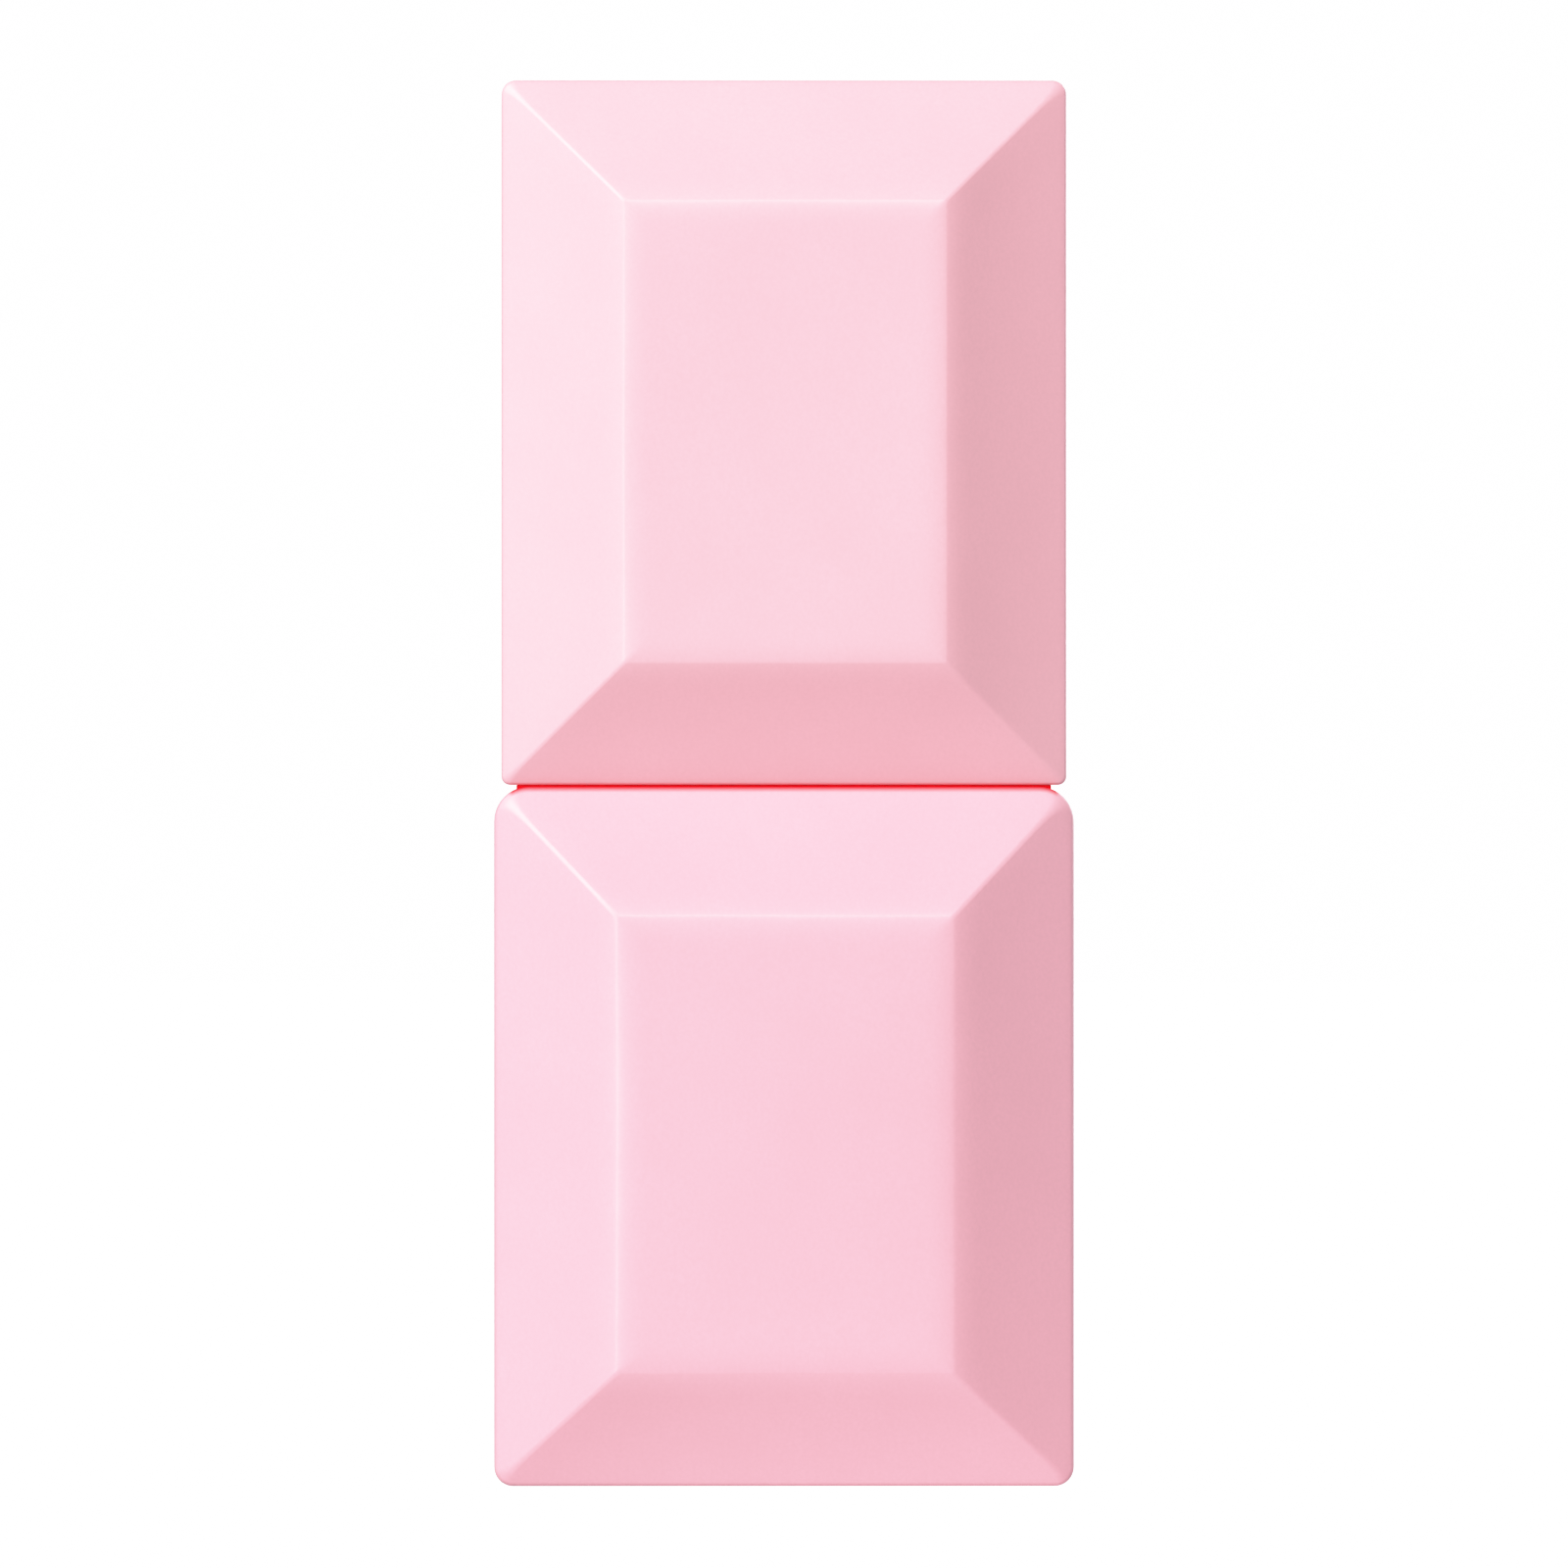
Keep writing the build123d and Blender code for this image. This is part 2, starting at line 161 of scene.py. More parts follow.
def outline(half_width, bottom, top, lower_corner, upper_corner):
    """Points round an upright rectangle with rounded corners, as (x, z) pairs."""
    corners = [
        (half_width - lower_corner, bottom + lower_corner, lower_corner, -90),
        (half_width - upper_corner, top - upper_corner, upper_corner, 0),
        (upper_corner - half_width, top - upper_corner, upper_corner, 90),
        (lower_corner - half_width, bottom + lower_corner, lower_corner, 180),
    ]
    arcs = []
    for x, z, radius, start in corners:
        angles = [math.radians(start + 90 * k / CORNER_STEPS) for k in range(CORNER_STEPS + 1)]
        arcs.append([(x + radius * math.cos(a), z + radius * math.sin(a)) for a in angles])
    points = []
    for number, arc in enumerate(arcs):
        points.extend(arc)
        (x0, z0), (x1, z1) = arc[-1], arcs[(number + 1) % 4][0]
        for k in range(1, SIDE_STEPS):
            share = k / SIDE_STEPS
            points.append((x0 + (x1 - x0) * share, z0 + (z1 - z0) * share))
    return points


def ridge_points(slope, half_length, steps):
    """Steps (along, up) over the ridge of a facet and a table.

    The surface turns quickly right at the ridge and slowly for a way on both sides of it.
    """
    marks = [-1 + k / steps for k in range(2 * steps + 1)]
    marks = [math.copysign(abs(mark) ** RIDGE_SPACING, mark) for mark in marks]
    points = [(0, 0)]
    for here, there in zip(marks, marks[1:]):
        middle = (here + there) / 2
        turned = math.copysign(abs(middle) ** RIDGE_SOFTNESS, middle)
        angle = slope * (1 - turned) / 2
        run = (there - here) * half_length
        along, up = points[-1]
        points.append((along + run * math.cos(angle), up + run * math.sin(angle)))
    return points


def half_profile(half_rim, bevel_depth, bevel_width, rim_round, ridge_length, steps):
    """The block's cross-section from the middle of its side to its table.

    Each entry is (inset, depth): inset is the share of the bevel's width that the outline has
    moved in, and depth is the distance from the block's middle plane.
    """
    slope = math.atan2(bevel_depth, bevel_width)
    turn = math.pi / 2 - slope
    reach = rim_round * math.tan(turn / 2)
    band = [(0, (half_rim - reach) * k / steps) for k in range(steps)]
    rim = []
    for k in range(steps + 1):
        angle = turn * k / steps
        rim.append((rim_round * (1 - math.cos(angle)) / bevel_width,
                    half_rim - reach + rim_round * math.sin(angle)))
    ridge = ridge_points(slope, ridge_length, steps)
    rise = ridge[-1][1]
    table = [((bevel_width - rise / math.tan(slope) + along) / bevel_width,
              half_rim + bevel_depth - rise + up) for along, up in ridge]
    (inset0, depth0), (inset1, depth1) = rim[-1], table[0]
    facet_steps = 2 * steps
    facet = [(inset0 + (inset1 - inset0) * k / facet_steps,
              depth0 + (depth1 - depth0) * k / facet_steps) for k in range(1, facet_steps)]
    return band + rim + facet + table


def half_rings(half_width, bottom, top, profile, bevels, corners):
    """The outlines from the block's middle plane to the middle of its table.

    Each entry is (inset, depth, points), and past the table's edge inset counts the rings.
    """
    side, lower, upper = bevels
    lower_corner, upper_corner, table_corner = corners
    rings = []
    for inset, depth in profile:
        outer_share = (1 - min(inset, 1)) ** CORNER_SHARPENING
        points = outline(
            half_width - side * inset, bottom + lower * inset, top - upper * inset,
            table_corner + (lower_corner - table_corner) * outer_share,
            table_corner + (upper_corner - table_corner) * outer_share)
        rings.append((inset, depth, points))
    inset, depth, points = rings[-1]
    middle = (bottom + lower + top - upper) / 2
    for k in range(1, TABLE_STEPS):
        scale = 1 - k / TABLE_STEPS
        shrunk = [(x * scale, middle + (z - middle) * scale) for x, z in points]
        rings.append((inset + k, depth, shrunk))
    return rings


def gem_block(half_width, bottom, top, half_rim, bevel_depth, bevels, corners, rounds,
              relief=None, steps=6):
    """An emerald-cut block as a closed mesh of rings, with an optional relief on its faces.

    bevels is (side, lower, upper) widths, corners is (lower, upper, table) radii, rounds is
    (rim edge radius, ridge half length). relief(x, z, inset, side) gives how far a point sinks.
    """
    side, lower, upper = bevels
    middle = (bottom + lower + top - upper) / 2
    profile = half_profile(half_rim, bevel_depth, side, *rounds, steps)
    half = half_rings(half_width, bottom, top, profile, bevels, corners)

    def placed(x, z, inset, depth, end):
        sink = relief(x, z, inset, end) if relief else 0
        return Vector((x, end * (depth - sink), z))

    rings = []
    for end, order in ((1, half[:0:-1]), (-1, half)):
        for inset, depth, points in order:
            rings.append([placed(x, z, inset, depth, end) for x, z in points])
    count = len(rings[0])
    vertices = [point for ring in rings for point in ring]
    faces = []
    for number in range(len(rings) - 1):
        for k in range(count):
            a, b = number * count + k, number * count + (k + 1) % count
            faces.append((a, b, b + count, a + count))
    for first, end in ((0, 1), (len(rings) - 1, -1)):
        centre = len(vertices)
        vertices.append(placed(0, middle, TABLE_STEPS, half_rim + bevel_depth, end))
        faces.extend((first * count + k, first * count + (k + 1) % count, centre)
                     for k in range(count))
    return mesh_from("block", vertices, faces)


def plain_box(half_width, bottom, top, half_depth, bevel=0.3 * MM, corner=0.05 * MM):
    """A box with flat faces, to join to another shape or to cut it with."""
    hair = 0.001 * MM
    return gem_block(half_width, bottom, top, half_depth, hair, (bevel,) * 3, (corner,) * 3,
                     (hair,) * 2, steps=2)


def moulded_faces(table_half, table_middle, facet_dish, table_dish, ripple, seed):
    """A relief for moulded faces: each one sinks or swells a little and ripples between its edges."""
    def relief(x, z, inset, side):
        wave = ripple * noise.noise(Vector((x / RIPPLE_SIZE, z / RIPPLE_SIZE, seed + side)))
        if inset < 1:
            return math.sin(math.pi * max(inset, 0)) * (facet_dish + wave)
        across = 1 - min(abs(x) / table_half[0], 1) ** 2
        along = 1 - min(abs(z - table_middle) / table_half[1], 1) ** 2
        return across * along * table_dish + math.sqrt(across * along) * wave
    return relief


# ==== turned and wound shapes ====

def lathe(profile, segments=96):
    """A closed mesh turned about the Z axis from (radius, height) points, end to end on the axis."""
    vertices = []
    faces = []
    rows = []
    for radius, height in profile:
        if radius == 0:
            vertices.append((0, 0, height))
            rows.append([len(vertices) - 1] * segments)
            continue
        start = len(vertices)
        for k in range(segments):
            angle = 2 * math.pi * k / segments
            vertices.append((radius * math.cos(angle), radius * math.sin(angle), height))
        rows.append(list(range(start, start + segments)))
    for low, high in zip(rows, rows[1:]):
        for k in range(segments):
            corners = [low[k], low[(k + 1) % segments], high[(k + 1) % segments], high[k]]
            face = list(dict.fromkeys(corners))
            if len(face) > 2:
                faces.append(face)
    return mesh_from("turned", vertices, faces)


def arc_points(radius, height, size, start, stop, steps=6):
    """Points of a quarter-round of a lathe profile, round a centre at (radius, height)."""
    angles = [math.radians(start + (stop - start) * k / steps) for k in range(steps + 1)]
    return [(radius + size * math.cos(a), height + size * math.sin(a)) for a in angles]


def thread_ridge():
    """The neck's thread: a rounded ridge wound up the wall that fades out at both ends."""
    steps = 120
    section_steps = 8
    half_width = 0.75 * MM
    embed = 0.25 * MM
    skin = 0.02 * MM
    fade = 0.12
    least = 0.05
    vertices = []
    for k in range(steps + 1):
        share = k / steps
        angle = 2 * math.pi * THREAD_TURNS * share
        height = THREAD_START + THREAD_PITCH * THREAD_TURNS * share
        rise = min(share / fade, (1 - share) / fade, 1)
        rise = least + (1 - least) * math.sin(rise * math.pi / 2)
        for j in range(section_steps + 1):
            across = -1 + 2 * j / section_steps
            bulge = (1 - abs(across) ** 3) * THREAD_HEIGHT * rise
            radius = NECK_RADIUS + bulge - skin
            vertices.append((radius * math.cos(angle), radius * math.sin(angle),
                             height + across * half_width))
        for across in (1, -1):
            radius = NECK_RADIUS - embed
            vertices.append((radius * math.cos(angle), radius * math.sin(angle),
                             height + across * half_width))
    count = section_steps + 3
    faces = []
    for k in range(steps):
        for j in range(count):
            a, b = k * count + j, k * count + (j + 1) % count
            faces.append((a, b, b + count, a + count))
    faces.append(tuple(range(count)))
    faces.append(tuple(steps * count + j for j in range(count)))
    return mesh_from("thread", vertices, faces)


# ==== materials ====

def principled(name, **values):
    """A material with a Principled shader and its constants set on the shader's own sockets."""
    material = bpy.data.materials.new(name)
    material.use_nodes = True
    shader = material.node_tree.nodes["Principled BSDF"]
    for socket, value in values.items():
        shader.inputs[socket.replace("_", " ")].default_value = value
    return material, material.node_tree, shader


def feed(tree, socket, value):
    """Link a socket to another node's output, or set it to a constant."""
    if hasattr(value, "links"):
        tree.links.new(value, socket)
    else:
        socket.default_value = value


def node(tree, kind, **inputs):
    """A new node with some of its inputs filled in."""
    item = tree.nodes.new(kind)
    for key, value in inputs.items():
        feed(tree, item.inputs[key.replace("_", " ")], value)
    return item


def maths(tree, operation, *values):
    """The result of a sum on constants or other nodes' outputs."""
    item = tree.nodes.new("ShaderNodeMath")
    item.operation = operation
    for socket, value in zip(item.inputs, values):
        feed(tree, socket, value)
    return item.outputs[0]


def grain(tree, size, detail=3.0, roughness=0.5):
    """Fine noise with features of a given size, in object space."""
    place = node(tree, "ShaderNodeTexCoord")
    return node(tree, "ShaderNodeTexNoise", Vector=place.outputs["Object"], Scale=1 / size,
                Detail=detail, Roughness=roughness).outputs["Fac"]


def spread(tree, value, low, high, start=0.3, stop=0.7):
    """Stretch a noise value from its usual span to a range."""
    return node(tree, "ShaderNodeMapRange", Value=value, **{
        "From_Min": start, "From_Max": stop, "To_Min": low, "To_Max": high}).outputs["Result"]


def mix_colour(tree, factor, first, second):
    """Blend two colours, which may be constants or other nodes' outputs."""
    item = tree.nodes.new("ShaderNodeMix")
    item.data_type = "RGBA"
    # a Mix node has a set of sockets for each data type, and these are the colour ones
    for number, value in ((0, factor), (6, first), (7, second)):
        feed(tree, item.inputs[number], value)
    return item.outputs[2]


def place_of(tree):
    """The X and Z coordinates in the part's frame."""
    place = node(tree, "ShaderNodeTexCoord")
    split = node(tree, "ShaderNodeSeparateXYZ", Vector=place.outputs["Object"])
    return split.outputs["X"], split.outputs["Z"]


def add_bump(tree, shader, layers):
    """Chain fine bumps onto a shader: each layer is (value, strength, depth in metres)."""
    normal = None
    for value, strength, depth in layers:
        bump = node(tree, "ShaderNodeBump", Height=value, Strength=strength, Distance=depth)
        if normal:
            tree.links.new(normal, bump.inputs["Normal"])
        normal = bump.outputs["Normal"]
    tree.links.new(normal, shader.inputs["Normal"])


def tint(colour, factor):
    """A colour made darker or lighter by a factor."""
    return tuple(min(channel * factor, 1) for channel in colour[:3]) + (1,)


def seam_painted_shade_share(tree):
    """How strongly the seam's painted shade, a saturated red, lies on the glass: full at the shoulder
    and its rounded ends.
    """
    across, height = place_of(tree)
    out = maths(tree, "ABSOLUTE", across)
    # a circle's drop from its top is about the square of the way along it over its diameter
    corner_start = BOTTLE_HIGH[0] - SHOULDER_CORNER
    followed = 1 * MM
    along = spread(tree, out, 0, followed, corner_start, corner_start + followed)
    drop = maths(tree, "DIVIDE", maths(tree, "MULTIPLY", along, along), 2 * SHOULDER_CORNER)
    level = maths(tree, "ADD", height, drop)
    # painted shade: deepest red at the shoulder, fading out down the glass
    painted_shade = spread(tree, level, 0, 1, SHOULDER - SEAM_FADE, SHOULDER - SEAM_CORE)
    under_cap = spread(tree, height, 1, 0, SHOULDER + 0.03 * MM, SHOULDER + 0.07 * MM)
    in_reach = spread(tree, out, 1, 0, SEAM_REACH - 0.3 * MM, SEAM_REACH)
    return maths(tree, "MULTIPLY", maths(tree, "MULTIPLY", painted_shade, under_cap), in_reach)


def satin_pink(name, colour, roughness, with_painted_seam_shade=False):
    """Satin pink finish: slow mottling, uneven sheen and the faint peel of a sprayed coat."""
    material, tree, shader = principled(
        name, Specular_IOR_Level=0.6, Coat_Weight=0.5, Coat_Roughness=0.3)
    mottle = spread(tree, grain(tree, 5 * MM, 4), 0, 1)
    base = mix_colour(tree, mottle, tint(colour, 0.985), tint(colour, 1.015))
    strongest_fleck = 0.6
    fleck = spread(tree, grain(tree, 0.2 * MM, 2), 0, strongest_fleck)
    base = mix_colour(tree, fleck, base, tint(colour, 0.93))
    # the seam's painted shade: a saturated red on the glass where the cap's edge meets it
    if with_painted_seam_shade:
        base = mix_colour(tree, seam_painted_shade_share(tree), base, SEAM_PAINTED_SHADE_RED)
    tree.links.new(base, shader.inputs["Base Color"])
    sheen = spread(tree, grain(tree, 2.2 * MM, 3), roughness - 0.03, roughness + 0.04)
    tree.links.new(sheen, shader.inputs["Roughness"])
    peel = grain(tree, 1.1 * MM, 2)
    tooth = grain(tree, 0.16 * MM, 2)
    add_bump(tree, shader, [(peel, 0.35, 0.02 * MM), (tooth, 0.6, 0.004 * MM)])
    return material


def seam_painted_shade_red():
    """The seam's painted shade, a saturated red on the pad's wall, with a little painted glow so that
    it stays red.
    """
    material, tree, shader = principled(
        "seam_painted_shade_red", Roughness=0.6, Specular_IOR_Level=0.1, Emission_Strength=0.05)
    uneven = spread(tree, grain(tree, 3 * MM, 3), 0, 1)
    base = mix_colour(tree, uneven, *SEAM_WALL_PAINTED_SHADE_REDS)
    tree.links.new(base, shader.inputs["Base Color"])
    # painted glow: the wall in the seam gives out a little red light of its own
    shader.inputs["Emission Color"].default_value = (0.95, 0.0, 0.012, 1)
    return material


def clear_glass():
    """Clear flint glass with the faint ripple of a moulded neck."""
    material, tree, shader = principled(
        "neck_glass", Base_Color=(0.97, 0.99, 0.98, 1), Transmission_Weight=1.0, IOR=1.51)
    ripple = spread(tree, grain(tree, 1.5 * MM, 2), 0.01, 0.05)
    tree.links.new(ripple, shader.inputs["Roughness"])
    add_bump(tree, shader, [(grain(tree, 2.5 * MM, 2), 0.2, 0.02 * MM)])
    return material


def moulded_plastic(name, colour, roughness, wet_below=None):
    """Moulded polypropylene: slight flow marks, fine tooth, and wet polish below a height."""
    material, tree, shader = principled(name, Specular_IOR_Level=0.45)
    flow = spread(tree, grain(tree, 3 * MM, 4), 0, 1)
    base = mix_colour(tree, flow, tint(colour, 0.97), tint(colour, 1.02))
    sheen = spread(tree, grain(tree, 1.5 * MM, 3), roughness - 0.04, roughness + 0.05)
    if wet_below is not None:
        waver = spread(tree, grain(tree, 1.2 * MM, 2), -0.5 * MM, 0.5 * MM)
        edge = maths(tree, "ADD", place_of(tree)[1], waver)
        wet = spread(tree, edge, 1, 0, wet_below - 0.2 * MM, wet_below + 0.2 * MM)
        base = mix_colour(tree, wet, base, POLISH_PINK + (1,))
        sheen = spread(tree, wet, roughness, 0.08, 0, 1)
    tree.links.new(base, shader.inputs["Base Color"])
    tree.links.new(sheen, shader.inputs["Roughness"])
    add_bump(tree, shader, [(grain(tree, 0.2 * MM, 2), 0.2, 0.004 * MM)])
    return material


def wet_polish(name):
    """Glossy pink polish, with slow streaks of pigment."""
    material, tree, shader = principled(
        name, Roughness=0.06, Specular_IOR_Level=0.55, Coat_Weight=0.6, Coat_Roughness=0.03)
    streak = spread(tree, grain(tree, 2.5 * MM, 4), 0, 1)
    base = mix_colour(tree, streak, tint(POLISH_PINK, 0.95), tint(POLISH_PINK, 1.05))
    tree.links.new(base, shader.inputs["Base Color"])
    return material


def metal(name, colour, roughness, streak_size):
    """Bare metal with an uneven, lightly scratched polish."""
    material, tree, shader = principled(name, Metallic=1.0)
    uneven = spread(tree, grain(tree, streak_size, 4), 0, 1)
    base = mix_colour(tree, uneven, tint(colour, 0.94), tint(colour, 1.04))
    tree.links.new(base, shader.inputs["Base Color"])
    worn = spread(tree, grain(tree, streak_size / 3, 3), roughness, roughness + 0.12)
    tree.links.new(worn, shader.inputs["Roughness"])
    add_bump(tree, shader, [(grain(tree, streak_size / 4, 3), 0.15, 0.004 * MM)])
    return material


def foam():
    """The washer's closed-cell foam, with fine pores."""
    material, tree, shader = principled("washer_foam", Roughness=0.8, Specular_IOR_Level=0.25)
    place = node(tree, "ShaderNodeTexCoord")
    pore_size = 0.25 * MM
    pores = node(tree, "ShaderNodeTexVoronoi", Vector=place.outputs["Object"],
                 Scale=1 / pore_size).outputs["Distance"]
    base = mix_colour(tree, pores, (0.80, 0.80, 0.77, 1), (0.9, 0.9, 0.87, 1))
    tree.links.new(base, shader.inputs["Base Color"])
    add_bump(tree, shader, [(pores, 0.5, 0.02 * MM)])
    return material


def paper():
    """White label paper with a soft fibre grain."""
    material, tree, shader = principled("label_paper", Roughness=0.75, Specular_IOR_Level=0.3)
    place = node(tree, "ShaderNodeTexCoord")
    stretch = node(tree, "ShaderNodeMapping", Vector=place.outputs["Object"])
    stretch.inputs["Scale"].default_value = (1, 4, 1)
    fibre = node(tree, "ShaderNodeTexNoise", Vector=stretch.outputs["Vector"],
                 Scale=1 / (0.6 * MM), Detail=4.0).outputs["Fac"]
    base = mix_colour(tree, fibre, (0.83, 0.82, 0.80, 1), (0.93, 0.92, 0.90, 1))
    tree.links.new(base, shader.inputs["Base Color"])
    add_bump(tree, shader, [(fibre, 0.3, 0.01 * MM)])
    return material


# ==== the pieces that are rebuilt in mesh ====

def build_over_cap():
    """The faceted shell, hollow and open at its mouth."""
    half_width = CAP_HIGH[0]
    half_rim = CAP_HIGH[1] - BEVEL_DEPTH
    bottom, top = CAP_LOW[2], CAP_HIGH[2]
    plate_top = PLATE_LOW[2] + PLATE_THICKNESS
    side_wall = 2.4 * MM
    roof = 2.2 * MM
    face_wall = 1.3 * MM
    ledge = 0.8 * MM           # how far the mouth's wider cut overlaps the hollow
    mouth_side_wall = 1.6 * MM
    mouth_face_wall = 1.1 * MM
    table_half = (half_width - BEVEL_WIDTH, (top - bottom) / 2 - BEVEL_WIDTH)
    relief = moulded_faces(table_half, (bottom + top) / 2, 0.14 * MM, 0.15 * MM, 0.04 * MM, seed=3)
    shell = gem_block(half_width, bottom, top, half_rim, BEVEL_DEPTH, (BEVEL_WIDTH,) * 3,
                      (0.5 * MM, 0.8 * MM, 0.2 * MM), (0.35 * MM, 1.4 * MM), relief, steps=8)
    hollow = gem_block(half_width - side_wall, plate_top - ledge, top - roof,
                       half_rim - face_wall, 3.8 * MM, (5.9 * MM,) * 3,
                       (0.5 * MM,) * 3, (0.3 * MM,) * 2, steps=3)
    mouth = plain_box(half_width - mouth_side_wall, bottom - 1 * MM, plate_top,
                      half_rim - mouth_face_wall, bevel=0.5 * MM, corner=0.3 * MM)
    shell = combine(shell, hollow, "DIFFERENCE")
    shell = combine(shell, mouth, "DIFFERENCE")
    smooth(shell)
    piece = new_object("over_cap_shell_faceted", shell, "over_cap")
    piece.data.materials.append(satin_pink("cap_satin_pink", CAP_PINK, 0.56))
    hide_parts("over_cap_shell")
    return piece


def neck_form():
    """The outside of the neck, rooted in the shoulder, with its lip and foot rounded."""
    pad_top = SHOULDER + SEAM_GAP
    root = SHOULDER - 1.5 * MM
    foot_radius = NECK_RADIUS + NECK_FOOT
    profile = [(0, root), (foot_radius, root), (foot_radius, pad_top)]
    profile += arc_points(foot_radius, pad_top + NECK_FOOT, NECK_FOOT, 270, 180)[1:]
    profile += arc_points(NECK_RADIUS - NECK_LIP, NECK_TOP - NECK_LIP, NECK_LIP, 0, 90)
    profile += [(0, NECK_TOP)]
    return lathe(profile)


def bore_form():
    """The hole down the neck into the hollow, flared over the rounded inner lip."""
    bottom = SHOULDER - 8 * MM
    top = NECK_TOP + 1 * MM
    flare = BORE_RADIUS + NECK_LIP
    profile = [(0, bottom), (BORE_RADIUS, bottom)]
    profile += arc_points(flare, NECK_TOP - NECK_LIP, NECK_LIP, 180, 90)
    profile += [(flare, top), (0, top)]
    return lathe(profile)


def cavity_form(clearance):
    """The hollow inside the glass, which the polish also fills."""
    return gem_block(CAVITY_HALF_WIDTH - clearance, CAVITY_BOTTOM + clearance,
                     CAVITY_TOP - clearance, CAVITY_HALF_RIM - clearance, CAVITY_BEVEL_DEPTH,
                     (6.0 * MM,) * 3, (4 * MM, 4 * MM, 2 * MM), (1.6 * MM,) * 2, steps=5)


def build_bottle():
    """The lacquered glass block with its clear threaded neck, bore and cavity."""
    half_width = BOTTLE_HIGH[0]
    # the tables swell by their crown and ripple by a hair more, and stay inside the CAD box
    half_rim = BOTTLE_HIGH[1] - BEVEL_DEPTH - TABLE_CROWN - 0.02 * MM
    lower_bevel = 6.5 * MM
    upper_bevel = 7.3 * MM
    middle = (lower_bevel + SHOULDER - upper_bevel) / 2
    table_half = (half_width - BEVEL_WIDTH, (SHOULDER - lower_bevel - upper_bevel) / 2)
    relief = moulded_faces(table_half, middle, 0.09 * MM, -TABLE_CROWN, 0.08 * MM, seed=11)
    glass = gem_block(half_width, 0, SHOULDER, half_rim, BEVEL_DEPTH,
                      (BEVEL_WIDTH, lower_bevel, upper_bevel),
                      (1.1 * MM, SHOULDER_CORNER, 0.25 * MM), (0.5 * MM, 1.6 * MM), relief, steps=8)
    pad = plain_box(SHOULDER_PAD[0], SHOULDER - 1 * MM, CAP_LOW[2], SHOULDER_PAD[1])
    label_recess = plain_box(12 * MM, -1 * MM, 0.5 * MM, 6.25 * MM)
    for addition in (pad, neck_form(), thread_ridge()):
        glass = combine(glass, addition, "UNION")
    for cutter in (cavity_form(0), bore_form(), label_recess):
        glass = combine(glass, cutter, "DIFFERENCE")
    smooth(glass)
    piece = new_object("bottle_lacquered_glass", glass, "bottle")
    # in the order that bottle_zone counts them; the lacquer and the seam's wall carry the seam's
    # painted shade
    glass.materials.append(satin_pink("bottle_satin_pink", BOTTLE_PINK, 0.54, with_painted_seam_shade=True))
    glass.materials.append(clear_glass())
    glass.materials.append(seam_painted_shade_red())
    for face in glass.polygons:
        face.material_index = bottle_zone(face)
    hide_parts("glass_bottle")
    return piece


def bottle_zone(face):
    """Which finish a face of the glass has: 0 lacquer, 1 clear glass, 2 the wall in the seam, with
    the seam's painted shade.
    """
    x, y, z = face.center
    margin = 0.2 * MM
    in_cavity = (abs(x) < CAVITY_HALF_WIDTH + margin
                 and abs(y) < CAVITY_HALF_RIM + CAVITY_BEVEL_DEPTH + margin
                 and CAVITY_BOTTOM - margin < z < CAVITY_TOP + margin)
    from_axis = math.hypot(x, y)
    on_neck = from_axis < NECK_RADIUS + THREAD_HEIGHT + margin and z > CAP_LOW[2] + LACQUER_RISE
    in_bore = from_axis < BORE_RADIUS + margin and z > CAVITY_TOP - margin
    if in_cavity or on_neck or in_bore:
        return 1
    near = 0.04 * MM
    wall_depth = 0.6 * MM
    on_side = abs(abs(x) - SHOULDER_PAD[0]) < near and abs(y) < SHOULDER_PAD[1] + near
    on_front = abs(abs(y) - SHOULDER_PAD[1]) < near and abs(x) < SHOULDER_PAD[0] + near
    in_seam = SHOULDER - wall_depth < z < CAP_LOW[2] and abs(face.normal.z) < 0.5
    return 2 if in_seam and (on_side or on_front) else 0


def build_polish():
    """The polish in the cavity, up to its fill level."""
    liquid = cavity_form(0.05 * MM)
    level = POLISH_HIGH[2]
    above = plain_box(20 * MM, level, level + 20 * MM, 20 * MM)
    liquid = combine(liquid, above, "DIFFERENCE")
    smooth(liquid)
    piece = new_object("polish_fill", liquid, "bottle")
    piece.data.materials.append(wet_polish("polish_fill_gloss"))
    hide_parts("nail_polish")
    return piece


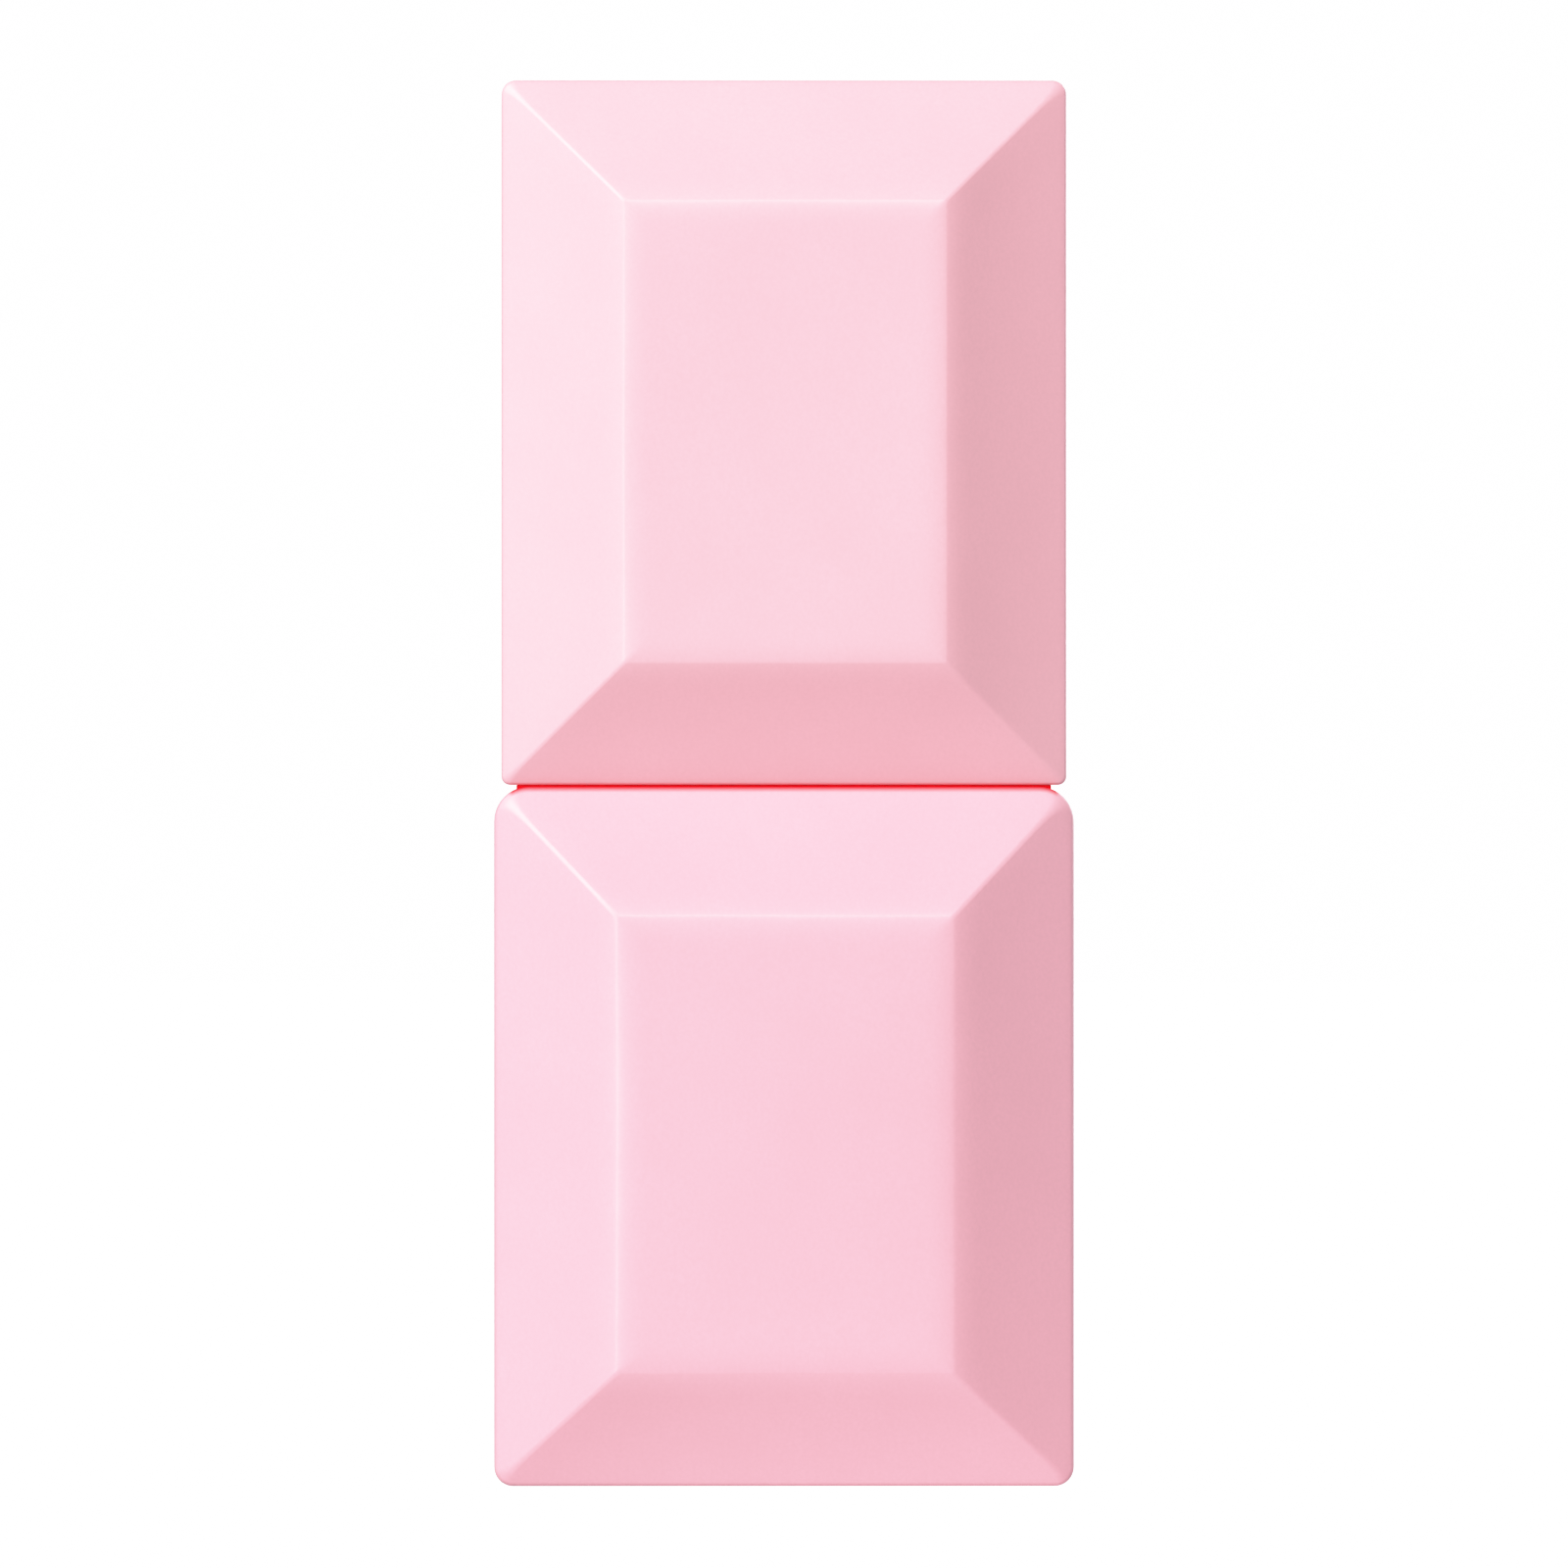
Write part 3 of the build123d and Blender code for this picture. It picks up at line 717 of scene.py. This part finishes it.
def build_bristles():
    """The tuft: fine round filaments, tight in the socket, fuller below and domed at the tip."""
    random.seed(5)
    count = 170
    rings = 10
    sides = 5
    shank = 1.2 * MM
    belly = 2.15 * MM
    tip_dome = 2.4 * MM
    tip_scatter = 0.25
    most_sway = 0.12
    filling_out = 1.7          # how soon the tuft widens below the socket
    tuck_start = 0.7
    most_tuck = 0.12
    taper = 0.45
    tip = BRISTLE_LOW[2]
    top = BRISTLE_HIGH[2]
    socket_end = STEM_LOW[2]
    filament = 0.085 * MM
    vertices = []
    faces = []
    for number in range(count):
        share = math.sqrt((number + 0.5) / count)
        angle = number * math.pi * (3 - math.sqrt(5))
        end = tip + tip_dome * share ** 2.5 + random.uniform(0, tip_scatter) * MM
        sway = random.uniform(-most_sway, most_sway)
        base = len(vertices)
        for k in range(rings + 1):
            along = k / rings
            height = top + (end - top) * along
            below = max(0, (socket_end - height) / (socket_end - tip))
            widen = math.sin(min(below * filling_out, 1) * math.pi / 2)
            tuck = most_tuck * max(0, below - tuck_start) / (1 - tuck_start)
            reach = share * (shank + (belly - shank) * (widen - tuck))
            turn = angle + sway * below
            centre = Vector((reach * math.cos(turn), reach * math.sin(turn), height))
            thick = filament * (1 - taper * along ** 3)
            for j in range(sides):
                spin = 2 * math.pi * j / sides
                vertices.append(centre + Vector((thick * math.cos(spin), thick * math.sin(spin), 0)))
        for k in range(rings):
            for j in range(sides):
                a = base + k * sides + j
                b = base + k * sides + (j + 1) % sides
                faces.append((a, b, b + sides, a + sides))
        faces.append(tuple(base + j for j in range(sides)))
        faces.append(tuple(base + rings * sides + j for j in range(sides)))
    tuft = mesh_from("tuft", vertices, faces)
    smooth(tuft, math.radians(60))
    piece = new_object("brush_filaments", tuft, "brush")
    piece.data.materials.append(wet_polish("bristles_wet"))
    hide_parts("brush_bristles")
    return piece


def build_brush_load():
    """The polish that the tuft carries: a soft body just inside the outer filaments."""
    tip = BRISTLE_LOW[2] + 0.15 * MM
    belly = 2.05 * MM
    tip_roundness = 4.5
    widest = 0.35
    shank_share = 0.5
    profile = [(0, tip)]
    steps = 14
    for k in range(1, steps + 1):
        share = k / steps
        height = tip + (STEM_LOW[2] - tip) * share
        dome = math.sqrt(1 - (1 - min(share * tip_roundness, 1)) ** 2)
        narrow = 1 - (1 - shank_share) * max(0, share - widest) / (1 - widest)
        profile.append((belly * dome * narrow, height))
    profile.append((0, STEM_LOW[2]))
    load = lathe(profile, 48)
    smooth(load, math.radians(60))
    piece = new_object("brush_polish_load", load, "brush")
    piece.data.materials.append(wet_polish("brush_load_gloss"))
    return piece


# ==== finishes on the CAD pieces that stay ====

def finish_cad_pieces():
    """Give each remaining CAD node its own procedural material."""
    finishes = {
        "base_label": paper(),
        "mixing_balls": metal("ball_steel", (0.72, 0.72, 0.74), 0.08, 1.0 * MM),
        "sealing_washer": foam(),
        "brush_stem": moulded_plastic("stem_white", (0.70, 0.70, 0.69), 0.36, POLISH_HIGH[2]),
        "bristle_staple": metal("staple_wire", (0.78, 0.70, 0.50), 0.2, 0.4 * MM),
        "inner_closure": moulded_plastic("closure_white", (0.68, 0.68, 0.67), 0.38),
        "over_cap_insert": moulded_plastic("insert_white", (0.68, 0.68, 0.67), 0.45),
        "over_cap_weight": metal("weight_metal", (0.56, 0.57, 0.59), 0.3, 2.0 * MM),
    }
    for name, material in finishes.items():
        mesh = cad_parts[name].data
        mesh.materials.clear()
        mesh.materials.append(material)


# ==== stage, light and camera ====

AMBIENT = 0.409
AMBIENT_COLOUR = (1, 1, 1.04, 1)
BACKDROP = 1.5
MIDDLE = Vector((0, 0, 40 * MM))
NEUTRAL = (1, 1, 1)
# name: (where it stands, what it faces, size, power, colour). The key shapes the facets, the
# bounce is pink light from below the base, and the small side and top lights catch the ridges.
LIGHTS = {
    "key": ((-0.400, -0.440, 0.412), MIDDLE, 0.33, 4.42, (1, 0.985, 0.96)),
    "bounce": ((0.010, -0.028, -0.035), Vector((0.010, -0.012, 0)), 0.05, 0.010, (1, 0.74, 0.78)),
    "back": ((0.35, 0.30, 0.22), MIDDLE, 0.4, 1.5, NEUTRAL),
    "side": ((-0.370, -0.600, 0.040), MIDDLE, 0.12, 1.1, NEUTRAL),
    "top": ((0.0, -0.600, 0.400), MIDDLE, 0.12, 1.1, NEUTRAL),
}
# tones above ROLL_OFF ease towards PAPER_WHITE, which they would reach at infinity
ROLL_OFF = 0.727
PAPER_WHITE = 1.02
BRIGHTEST = 2.0


def build_floor():
    """A plain pale floor that glows a little, so it stays as white as the backdrop."""
    bpy.ops.mesh.primitive_circle_add(vertices=96, radius=3, fill_type="NGON")
    floor = bpy.context.object
    floor.name = "floor"
    floor.location = (0, 0, -0.01 * MM)
    material, tree, shader = principled(
        "floor_white", Roughness=0.9, Specular_IOR_Level=0.0, Base_Color=(0.3, 0.3, 0.3, 1),
        Emission_Color=(1, 1, 1, 1), Emission_Strength=BACKDROP)
    floor.data.materials.append(material)
    floor.visible_diffuse = False
    floor.visible_glossy = False
    floor.visible_shadow = False


def build_world():
    """White to the camera, and a dim even light to everything else."""
    world = bpy.data.worlds.new("studio")
    bpy.context.scene.world = world
    world.use_nodes = True
    tree = world.node_tree
    tree.nodes.clear()
    seen = node(tree, "ShaderNodeBackground", Color=(1, 1, 1, 1), Strength=BACKDROP)
    light = node(tree, "ShaderNodeBackground", Color=AMBIENT_COLOUR, Strength=AMBIENT)
    path = node(tree, "ShaderNodeLightPath")
    blend = node(tree, "ShaderNodeMixShader", Fac=path.outputs["Is Camera Ray"])
    output = node(tree, "ShaderNodeOutputWorld")
    tree.links.new(light.outputs[0], blend.inputs[1])
    tree.links.new(seen.outputs[0], blend.inputs[2])
    tree.links.new(blend.outputs[0], output.inputs["Surface"])


def build_lights():
    """Square area lights, each turned to what it faces and hidden from the camera."""
    for name, (place, target, size, power, colour) in LIGHTS.items():
        data = bpy.data.lights.new(name, "AREA")
        data.shape = "SQUARE"
        data.size = size
        data.energy = power
        data.color = colour
        lamp = bpy.data.objects.new(name, data)
        bpy.context.scene.collection.objects.link(lamp)
        lamp.location = place
        lamp.rotation_mode = "QUATERNION"
        lamp.rotation_quaternion = (Vector(place) - target).to_track_quat("Z", "Y")
        lamp.visible_camera = False


def build_camera():
    """A long lens level with the seam, a touch to the left of square on."""
    share_of_frame = 0.8969    # the bottle's height over the picture's
    distance = 1.2
    turn = math.radians(-0.8)
    nearest_rim = BOTTLE_HIGH[1] - BEVEL_DEPTH
    data = bpy.data.cameras.new("camera")
    camera = bpy.data.objects.new("camera", data)
    bpy.context.scene.collection.objects.link(camera)
    camera.location = MIDDLE + Vector((math.sin(turn), -math.cos(turn), 0)) * distance
    camera.rotation_euler = (math.pi / 2, 0, turn)
    data.sensor_width = 36
    data.lens = data.sensor_width * (distance - nearest_rim) * share_of_frame / CAP_HIGH[2]
    data.shift_x = 0.0015
    data.shift_y = -0.0005
    data.clip_start = 0.01
    data.clip_end = 20
    bpy.context.scene.camera = camera


def soften_highlights():
    """Let the bright tones roll off gently instead of clipping."""
    view = bpy.context.scene.view_settings
    view.view_transform = "Standard"
    view.use_curve_mapping = True
    mapping = view.curve_mapping
    mapping.white_level = (BRIGHTEST,) * 3
    mapping.extend = "HORIZONTAL"
    tones = mapping.curves[3].points
    steps = 12
    crowding = 1.5             # over 1 crowds the curve's points towards the roll-off
    room = PAPER_WHITE - ROLL_OFF
    tones[0].location = (0, 0)
    for k in range(steps + 1):
        bright = ROLL_OFF + (BRIGHTEST - ROLL_OFF) * (k / steps) ** crowding
        shown = ROLL_OFF + room * (1 - math.exp((ROLL_OFF - bright) / room))
        place = (bright / BRIGHTEST, min(shown, 1))
        if k == steps:
            tones[len(tones) - 1].location = place
        else:
            tones.new(*place)
    for tone in tones:
        tone.handle_type = "VECTOR"
    mapping.update()


build_over_cap()
build_bottle()
build_polish()
build_bristles()
build_brush_load()
finish_cad_pieces()
build_floor()
build_world()
build_lights()
build_camera()
soften_highlights()
